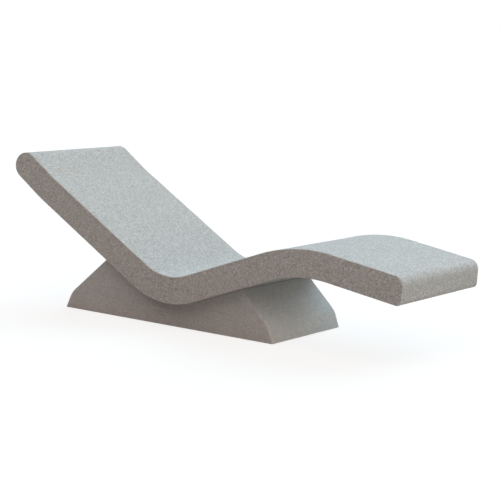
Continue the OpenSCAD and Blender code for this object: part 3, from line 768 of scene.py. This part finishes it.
class Finish:
    """A material as it is built up: its node tree, its shader and the place on the piece."""

    effects = {}

    def __init__(self, name, **constants):
        """Starts a material. The constants go to the shader's sockets of their names."""
        self.material = bpy.data.materials.new(name)
        self.material.use_nodes = True
        self.tree = self.material.node_tree
        self.shader = self.tree.nodes["Principled BSDF"]
        for label, value in constants.items():
            self.shader.inputs[label.replace("_", " ")].default_value = value
        self.place = add(self.tree, "ShaderNodeTexCoord").outputs["Object"]

    def effect(self, maker, **inputs):
        """Places a shared effect, built when it is first asked for, with this finish's values."""
        if maker not in Finish.effects:
            Finish.effects[maker] = maker()
        values = {name.replace("_", " "): value for name, value in inputs.items()}
        return add(self.tree, "ShaderNodeGroup", {"Place": self.place, **values},
                   node_tree=Finish.effects[maker]).outputs

    def arris(self):
        """The nearness of an arris that the coat's mesh carries."""
        return add(self.tree, "ShaderNodeAttribute", attribute_name="arris").outputs["Fac"]

    def sum(self, *terms):
        """Adds up pairs of a value and its weight."""
        total = 0.0
        for value, weight in terms:
            total = number(self.tree, "MULTIPLY_ADD", value, weight, total)
        return total

    def colour(self, base, *terms):
        """Makes a colour lighter or darker by values and their weights."""
        gain = number(self.tree, "ADD", self.sum(*terms), 1.0)
        return add(self.tree, "ShaderNodeMix", {"Factor": 1.0, "A": base, "B": gain},
                   data_type="RGBA", blend_type="MULTIPLY").outputs["Result"]

    def blend(self, share, under, over):
        """Lays one colour over another by a share."""
        return add(self.tree, "ShaderNodeMix", {"Factor": share, "A": under, "B": over},
                   data_type="RGBA", clamp_factor=True).outputs["Result"]

    def cover(self, under, over, where, strength):
        """Lays one colour over another where a value from 0 to 1 says, up to a strength."""
        return self.blend(number(self.tree, "MULTIPLY", where, strength), under, over)

    def specks(self, colour, grains, dark, pale):
        """Lays the dark and the pale ones among the grains over a colour, by their strengths."""
        darkened = self.cover(colour, DARK_GRAIN, grains["Dark grains"], dark)
        return self.cover(darkened, PALE_GRAIN, grains["Pale grains"], pale)

    def paint(self, colour):
        """Gives the shader its colour."""
        self.tree.links.new(colour, self.shader.inputs["Base Color"])

    def roughen(self, base, *terms):
        """Gives the shader a roughness that values and their weights change. The socket keeps the
        plain value too, for viewers that read no nodes."""
        rough = number(self.tree, "ADD", self.sum(*terms), base, clamp=True)
        socket = self.shader.inputs["Roughness"]
        socket.default_value = base
        self.tree.links.new(rough, socket)

    def emboss(self, depth, height):
        """Raises or sinks the surface by a height from 0 to 1 times a depth in metres."""
        relief = add(self.tree, "ShaderNodeBump", {"Distance": depth, "Height": height})
        self.tree.links.new(relief.outputs[0], self.shader.inputs["Normal"])


def slab_coat():
    """Coarse stone grain in a matt mineral coat, laid on with a trowel across the slab."""
    f = Finish("slab_coat", Specular_IOR_Level=0.3)
    grains = f.effect(granules_tree, Grain_size=0.0032, Dark_share=0.07, Pale_share=0.08)
    sand = f.effect(granules_tree, Grain_size=0.0011, Dark_share=0.0, Pale_share=0.0)
    clumps = f.effect(clouds_tree, Cloud_size=0.009, Seed=2.0)["Tone"]
    patches = f.effect(clouds_tree, Cloud_size=0.16, Seed=5.0)["Tone"]
    trowel = f.effect(strokes_tree, Stroke_size=(0.03, 0.35, 0.03), Break_size=0.2)["Strokes"]
    wear = f.effect(wear_tree, Nearness=f.arris(), Chip_size=0.003)
    base = f.colour(SLAB_TONE, (grains["Tone"], 0.27), (clumps, 0.18), (patches, 0.025),
                    (trowel, 0.012), (sand["Tone"], 0.05))
    grained = f.specks(base, grains, dark=0.8, pale=0.8)
    rubbed = f.cover(grained, RUBBED_COAT, wear["Rubbed"], 0.3)
    f.paint(f.cover(rubbed, CHIPPED_COAT, wear["Chipped"], 0.7))
    f.roughen(0.84, (grains["Tone"], 0.05), (patches, 0.03), (wear["Rubbed"], -0.08))
    f.emboss(0.0005, f.sum((grains["Relief"], 0.7), (sand["Relief"], 0.2), (clumps, 0.25),
                           (wear["Chipped"], -0.9)))
    return f.material


def plinth_coat():
    """The same coat with a finer grain, drawn level along the plinth. Its tone is paler than the
    slab's; much of that is painted light, which lifts the shade under the slab's overhang.
    """
    f = Finish("plinth_coat", Specular_IOR_Level=0.3)
    grains = f.effect(granules_tree, Grain_size=0.0017, Dark_share=0.05, Pale_share=0.04)
    clumps = f.effect(clouds_tree, Cloud_size=0.007, Seed=3.0)["Tone"]
    patches = f.effect(clouds_tree, Cloud_size=0.12, Seed=8.0)["Tone"]
    trowel = f.effect(strokes_tree, Stroke_size=(0.4, 0.4, 0.011), Break_size=0.25,
                      Seed=1.0)["Strokes"]
    wear = f.effect(wear_tree, Nearness=f.arris(), Chip_size=0.002)
    dust = f.effect(dust_tree, Reach=0.028)["Dust"]
    # The paler plinth tone here is painted light against the shade under the slab
    base = f.colour(PLINTH_TONE_SHADE_LIFTED, (grains["Tone"], 0.21), (clumps, 0.10), (patches, 0.03),
                    (trowel, 0.04))
    grained = f.specks(base, grains, dark=0.6, pale=0.6)
    rubbed = f.cover(grained, RUBBED_COAT, wear["Rubbed"], 0.45)
    chipped = f.cover(rubbed, CHIPPED_COAT, wear["Chipped"], 0.6)
    f.paint(f.cover(chipped, DUST, dust, 0.1))
    f.roughen(0.8, (grains["Tone"], 0.04), (patches, 0.03), (wear["Rubbed"], -0.08), (dust, 0.1))
    f.emboss(0.0003, f.sum((grains["Relief"], 0.6), (clumps, 0.2), (trowel, 0.35),
                           (wear["Chipped"], -1.0)))
    return f.material


def bed_mortar():
    """Flexible mortar between slab and plinth, with sand in it."""
    f = Finish("bed_mortar", Specular_IOR_Level=0.25)
    sand = f.effect(granules_tree, Grain_size=0.0012, Dark_share=0.08, Pale_share=0.06)
    patches = f.effect(clouds_tree, Cloud_size=0.05)["Tone"]
    base = f.colour(MORTAR, (sand["Tone"], 0.1), (patches, 0.05))
    f.paint(f.specks(base, sand, dark=0.6, pale=0.5))
    f.roughen(0.88, (sand["Tone"], 0.06))
    f.emboss(0.0003, f.sum((sand["Relief"], 0.7), (patches, 0.3)))
    return f.material


def foam():
    """Rigid foam with its closed cells cut open by the hot wire, which leaves faint waves. Some
    open cells are darkened with painted shade in their pits.
    """
    f = Finish("foam", Specular_IOR_Level=0.3)
    cells = f.effect(granules_tree, Grain_size=0.0008, Dark_share=0.04, Pale_share=0.05)
    wire = f.effect(strokes_tree, Stroke_size=(0.006, 0.5, 0.5), Break_size=0.3)["Strokes"]
    patches = f.effect(clouds_tree, Cloud_size=0.12)["Tone"]
    edge = f.effect(nearness_tree, Reach=0.002)["Nearness"]
    base = f.colour(FOAM, (cells["Tone"], 0.05), (wire, 0.02), (patches, 0.02))
    # Painted shade: the pits of some open cells are darkened
    pit_shaded = f.cover(base, FOAM_PIT_SHADE, cells["Dark grains"], 0.5)
    f.paint(f.cover(pit_shaded, FOAM_EDGE, edge, 0.25))
    f.roughen(0.72, (cells["Tone"], 0.08), (patches, 0.04))
    f.emboss(0.0002, f.sum((cells["Relief"], 0.7), (wire, 0.4)))
    return f.material


def beech():
    """Planed beech with its grain along the dowel and short, darker ray flecks."""
    f = Finish("beech", Specular_IOR_Level=0.4)
    grain = f.effect(strokes_tree, Stroke_size=(0.06, 0.0016, 0.03), Break_size=0.05)["Strokes"]
    rays = f.effect(strokes_tree, Stroke_size=(0.004, 0.0005, 0.002), Break_size=0.01,
                    Seed=4.0)["Strokes"]
    patches = f.effect(clouds_tree, Cloud_size=0.03)["Tone"]
    edge = f.effect(nearness_tree, Reach=0.001)["Nearness"]
    base = f.colour(BEECH, (grain, 0.14), (patches, 0.05))
    flecked = f.blend(smooth_range(f.tree, rays, 0.3, 0.8, end=0.5), base, BEECH_FLECK)
    f.paint(f.cover(flecked, BEECH_EDGE, edge, 0.3))
    f.roughen(0.52, (grain, 0.06), (patches, 0.05))
    f.emboss(0.0001, f.sum((grain, 0.5), (rays, -0.4)))
    return f.material


def heating_mat():
    """A red heating cable laid to and fro on a pale glass-fibre net."""
    f = Finish("heating_mat", Specular_IOR_Level=0.4)
    t = f.tree
    parts = add(t, "ShaderNodeSeparateXYZ", {"Vector": f.place}).outputs
    from_run = number(t, "PINGPONG", parts["Y"], CABLE_PITCH / 2)
    on_cable = smooth_range(t, from_run, *CABLE_FADES, 1.0, 0.0)
    yarns = []
    for axis in ("X", "Y"):
        beside = number(t, "PINGPONG", parts[axis], NET_MESH / 2)
        yarns.append(smooth_range(t, beside, *YARN_FADES, 1.0, 0.0))
    yarn = number(t, "MAXIMUM", *yarns)
    fibres = f.effect(strokes_tree, Stroke_size=(0.004, 0.0004, 0.004),
                      Break_size=0.02)["Strokes"]
    scuffs = f.effect(clouds_tree, Cloud_size=0.03)["Tone"]
    net = f.blend(yarn, NET_GAP, f.colour(NET_YARN, (fibres, 0.1)))
    cable = f.colour(CABLE_RED, (scuffs, 0.12), (fibres, 0.04))
    f.paint(f.blend(on_cable, net, cable))
    f.roughen(0.62, (on_cable, -0.2), (scuffs, 0.06), (yarn, -0.05))
    f.emboss(0.0003, f.sum((yarn, 0.5), (fibres, 0.1), (scuffs, 0.1)))
    return f.material


def lead_sheath():
    """The silicone sheath of the leads, with a little talc left on it."""
    f = Finish("lead_sheath", Specular_IOR_Level=0.45)
    grain = f.effect(granules_tree, Grain_size=0.0005, Dark_share=0.0, Pale_share=0.05)
    drawn = f.effect(strokes_tree, Stroke_size=(0.0006, 0.0006, 0.08), Break_size=0.04)["Strokes"]
    talc = f.effect(clouds_tree, Cloud_size=0.02)["Tone"]
    base = f.colour(SHEATH_BLACK, (grain["Tone"], 0.1), (drawn, 0.15))
    f.paint(f.blend(smooth_range(f.tree, talc, 0.1, 0.9, end=0.25), base, TALC))
    f.roughen(0.48, (talc, 0.1), (grain["Tone"], 0.05))
    f.emboss(0.00005, f.sum((grain["Relief"], 0.5), (drawn, 0.4)))
    return f.material


def steel(name, base, stroke_size, rough, spangle_size, spangle):
    """Bright or zinc-plated steel: drawn lines, the plating's crystals and rubbed edges."""
    f = Finish(name, Metallic=1.0)
    drawn = f.effect(strokes_tree, Stroke_size=stroke_size, Break_size=0.02)["Strokes"]
    crystals = f.effect(granules_tree, Grain_size=spangle_size, Dark_share=0.0, Pale_share=0.0)
    stain = f.effect(clouds_tree, Cloud_size=0.02, Seed=6.0)["Tone"]
    edge = f.effect(nearness_tree, Reach=0.0006)["Nearness"]
    wear = f.effect(wear_tree, Nearness=edge, Chip_size=0.001)
    plated = f.colour(base, (crystals["Tone"], spangle), (drawn, 0.05), (stain, 0.06))
    f.paint(f.cover(plated, WORN_STEEL, wear["Rubbed"], 0.5))
    f.roughen(rough, (crystals["Tone"], spangle / 2), (drawn, 0.05), (stain, 0.07),
              (wear["Rubbed"], -0.12))
    f.emboss(0.00004, f.sum((drawn, 0.6), (crystals["Relief"], 0.3), (wear["Chipped"], -0.8)))
    return f.material


def zinc_steel():
    """Zinc-plated rails, rods, washers and nuts."""
    return steel("zinc_steel", ZINC, stroke_size=(0.0006, 0.02, 0.02), rough=0.42,
                 spangle_size=0.004, spangle=0.1)


def sensor_steel():
    """The sensor's drawn steel sleeve."""
    return steel("sensor_steel", BRIGHT_STEEL, stroke_size=(0.0003, 0.03, 0.0003), rough=0.3,
                 spangle_size=0.0008, spangle=0.03)


def cement_board():
    """Pressed fibre cement: fine grain, short fibres and a dusty, bruised edge."""
    f = Finish("cement_board", Specular_IOR_Level=0.25)
    grain = f.effect(granules_tree, Grain_size=0.0009, Dark_share=0.05, Pale_share=0.05)
    fibres = f.effect(strokes_tree, Stroke_size=(0.012, 0.0007, 0.0007),
                      Break_size=0.03)["Strokes"]
    patches = f.effect(clouds_tree, Cloud_size=0.09)["Tone"]
    edge = f.effect(nearness_tree, Reach=0.002)["Nearness"]
    wear = f.effect(wear_tree, Nearness=edge, Chip_size=0.003)
    dust = f.effect(dust_tree, Reach=0.012)["Dust"]
    base = f.colour(CEMENT, (grain["Tone"], 0.07), (patches, 0.05), (fibres, 0.04))
    pale = f.blend(smooth_range(f.tree, fibres, 0.45, 0.9, end=0.4), base, CEMENT_FIBRE)
    bruised = f.cover(pale, BRUISED_CEMENT, wear["Rubbed"], 0.35)
    f.paint(f.cover(bruised, DUST, dust, 0.2))
    f.roughen(0.86, (grain["Tone"], 0.05), (patches, 0.04))
    f.emboss(0.0002, f.sum((grain["Relief"], 0.5), (fibres, 0.3), (wear["Chipped"], -1.0)))
    return f.material


def moulded(name, base, worn, rough, grain_size, depth, dusty=0.0,
            flow_size=(0.03, 0.004, 0.03)):
    """A moulded or extruded plastic or rubber: fine grain, flow marks, worn edges and dust."""
    f = Finish(name, Specular_IOR_Level=0.45)
    grain = f.effect(granules_tree, Grain_size=grain_size, Dark_share=0.0, Pale_share=0.03)
    flow = f.effect(strokes_tree, Stroke_size=flow_size, Break_size=0.03)["Strokes"]
    patches = f.effect(clouds_tree, Cloud_size=0.03)["Tone"]
    edge = f.effect(nearness_tree, Reach=0.0007)["Nearness"]
    wear = f.effect(wear_tree, Nearness=edge, Chip_size=0.0008)
    dust = f.effect(dust_tree, Reach=0.01)["Dust"]
    colour = f.colour(base, (grain["Tone"], 0.05), (flow, 0.03), (patches, 0.04))
    rubbed = f.cover(colour, worn, wear["Rubbed"], 0.4)
    f.paint(f.cover(rubbed, DUST, dust, dusty))
    f.roughen(rough, (grain["Tone"], 0.05), (patches, 0.05), (wear["Rubbed"], -0.06))
    f.emboss(depth, f.sum((grain["Relief"], 0.7), (flow, 0.15), (wear["Chipped"], -0.6)))
    return f.material


def conduit_plastic():
    """The conduit's extruded plastic, with its marks along the tube."""
    return moulded("conduit_plastic", CONDUIT_GREY, WORN_CONDUIT, rough=0.5, grain_size=0.0007,
                   depth=0.00005, flow_size=(0.001, 0.001, 0.2))


def pad_rubber():
    """The floor pads' rubber, dusty near the floor."""
    return moulded("pad_rubber", RUBBER_BLACK, WORN_RUBBER, rough=0.78, grain_size=0.0016,
                   depth=0.0003, dusty=0.5)


def box_plastic():
    """The terminal box and its lid."""
    return moulded("box_plastic", BOX_GREY, WORN_BOX, rough=0.48, grain_size=0.0006,
                   depth=0.00006)


def strip_plastic():
    """The terminal strip in the box."""
    return moulded("strip_plastic", STRIP_CREAM, WORN_STRIP, rough=0.3, grain_size=0.0008,
                   depth=0.00003)


def gland_plastic():
    """The cable gland and its locknut, dusty near the floor."""
    return moulded("gland_plastic", GLAND_BLACK, WORN_GLAND, rough=0.45, grain_size=0.0006,
                   depth=0.00006, dusty=0.3)


FINISHES = [slab_coat, plinth_coat, bed_mortar, foam, beech, heating_mat, lead_sheath, zinc_steel,
            sensor_steel, cement_board, conduit_plastic, pad_rubber, box_plastic, strip_plastic,
            gland_plastic]


# The camera's bearing from the near side round to the foot end, its height over the horizon, its
# tilt, and its distance from the point that it looks at. Its focal length is in the photograph's
# pixels.
CAMERA_AZIMUTH = math.radians(31.1994)
CAMERA_ELEVATION = math.radians(8.2885)
CAMERA_ROLL = math.radians(3.7499)
CAMERA_DISTANCE = 7.6418
CAMERA_TARGET = Vector((0.05116, 0.0, 0.3180))
CAMERA_FOCUS_PIXELS = 1834.76
IMAGE_PIXELS = 500
SENSOR_WIDTH = 36.0
VIEW_REACH = 200.0


def make_camera():
    """The camera at the photograph's viewing angle, tilted a little as it is there."""
    a, e = CAMERA_AZIMUTH, CAMERA_ELEVATION
    back = Vector((math.sin(a) * math.cos(e), -math.cos(a) * math.cos(e), math.sin(e)))
    right = Vector((math.cos(a), math.sin(a), 0.0))
    up = back.cross(right)
    tilt = Matrix.Rotation(CAMERA_ROLL, 3, back)
    right, up = tilt @ right, tilt @ up
    lens = bpy.data.cameras.new("camera")
    lens.sensor_width = SENSOR_WIDTH
    lens.lens = CAMERA_FOCUS_PIXELS / IMAGE_PIXELS * SENSOR_WIDTH
    lens.clip_end = VIEW_REACH
    camera = bpy.data.objects.new("camera", lens)
    camera.matrix_world = Matrix.Translation(CAMERA_TARGET + back * CAMERA_DISTANCE) @ Matrix(
        (right, up, back)).transposed().to_4x4()
    bpy.context.scene.collection.objects.link(camera)
    bpy.context.scene.camera = camera


WHITE = tone(1.0, 1.0, 1.0)
FLOOR_REACH = 60.0
# The colour that the floor throws back onto the lounger
FLOOR_BOUNCE = tone(0.56, 0.50, 0.455)
# How much of the floor's look is plain white, which keeps the shadow on it faint
FLOOR_WHITE = 0.72
# How bright that white is, so that the lit floor comes out white as well
FLOOR_WHITE_STRENGTH = 1.1


def seen_by_eye(tree):
    """1 for rays from the camera and for what gloss and glass show, else 0."""
    rays = add(tree, "ShaderNodeLightPath").outputs
    mirror = number(tree, "MAXIMUM", rays["Is Glossy Ray"], rays["Is Transmission Ray"])
    return number(tree, "MAXIMUM", rays["Is Camera Ray"], mirror)


def make_floor():
    """A plain white floor that keeps the lounger's shadow, faintly."""
    mesh = bpy.data.meshes.new("floor")
    r = FLOOR_REACH
    mesh.from_pydata([(-r, -r, 0), (r, -r, 0), (r, r, 0), (-r, r, 0)], [], [(0, 1, 2, 3)])
    floor = bpy.data.objects.new("floor", mesh)
    bpy.context.scene.collection.objects.link(floor)
    surface = bpy.data.materials.new("floor")
    surface.use_nodes = True
    tree = surface.node_tree
    tree.nodes.clear()
    eye = seen_by_eye(tree)
    seen = add(tree, "ShaderNodeMix", {"Factor": eye, "A": FLOOR_BOUNCE, "B": WHITE},
               data_type="RGBA").outputs["Result"]
    matt = add(tree, "ShaderNodeBsdfDiffuse", {"Color": seen}).outputs[0]
    plain = add(tree, "ShaderNodeEmission",
                {"Color": WHITE, "Strength": FLOOR_WHITE_STRENGTH}).outputs[0]
    share = number(tree, "MULTIPLY", eye, FLOOR_WHITE)
    both = add(tree, "ShaderNodeMixShader", {0: share, 1: matt, 2: plain}).outputs[0]
    add(tree, "ShaderNodeOutputMaterial", {"Surface": both})
    mesh.materials.append(surface)


# Each lamp: strength, colour, spread, the bearing it shines from (0 is the foot end, 90 the far
# side) and its height over the floor, the last three in degrees
LAMPS = {
    "sky overhead": (0.94, (0.92, 1.0, 0.97), 90, -60, 65),
    "sky on the far side": (1.39, (0.66, 1.0, 1.16), 60, 90, 40),
    "window on the far side": (2.32, (0.90, 1.0, 1.08), 60, 90, 15),
    "window at the foot end": (0.55, (1.27, 1.0, 0.78), 30, 0, 8),
    "window on the near side": (0.36, (1.62, 1.0, 0.89), 60, -90, 50),
}


def make_lights():
    """A white background that only the eye and gloss see, and the lamps: cool light from the far
    side and overhead, and a little warmer light from the foot end and the near side."""
    world = bpy.data.worlds.new("room")
    bpy.context.scene.world = world
    world.use_nodes = True
    tree = world.node_tree
    tree.nodes.clear()
    back = add(tree, "ShaderNodeBackground",
               {"Color": WHITE, "Strength": seen_by_eye(tree)}).outputs[0]
    add(tree, "ShaderNodeOutputWorld", {"Surface": back})
    for name, (strength, colour, spread, bearing, height) in LAMPS.items():
        lamp = bpy.data.lights.new(name, "SUN")
        lamp.energy, lamp.angle, lamp.color = strength, math.radians(spread), colour
        holder = bpy.data.objects.new(name, lamp)
        holder.rotation_euler = (0.0, math.radians(90 - height), math.radians(bearing))
        bpy.context.scene.collection.objects.link(holder)


SLAB_NODES = ("top_skin", "underside_skin", "left_side_skin", "right_side_skin")
PLINTH_NODES = ("plinth_left_skin", "plinth_right_skin", "plinth_head_end_skin",
                "plinth_foot_end_skin")


def stand_for(piece, nodes):
    """Puts a piece in the place of the coat's solids."""
    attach(piece, "root")
    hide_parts(*nodes)


def dress():
    """Gives every solid its finish, and makes the slab's and the plinth's coats."""
    finishes = {maker.__name__: maker() for maker in FINISHES}
    for row in frame["record"]["subparts"]:
        solid = frame["nodes"][row["node"]]
        for holder in solid.material_slots:
            holder.material = finishes[row["material_slot"]]
    stand_for(make_slab_coat(finishes["slab_coat"]), SLAB_NODES)
    stand_for(make_plinth_coat(finishes["plinth_coat"]), PLINTH_NODES)


make_camera()
make_floor()
make_lights()
dress()
bpy.context.scene.view_settings.view_transform = "Standard"
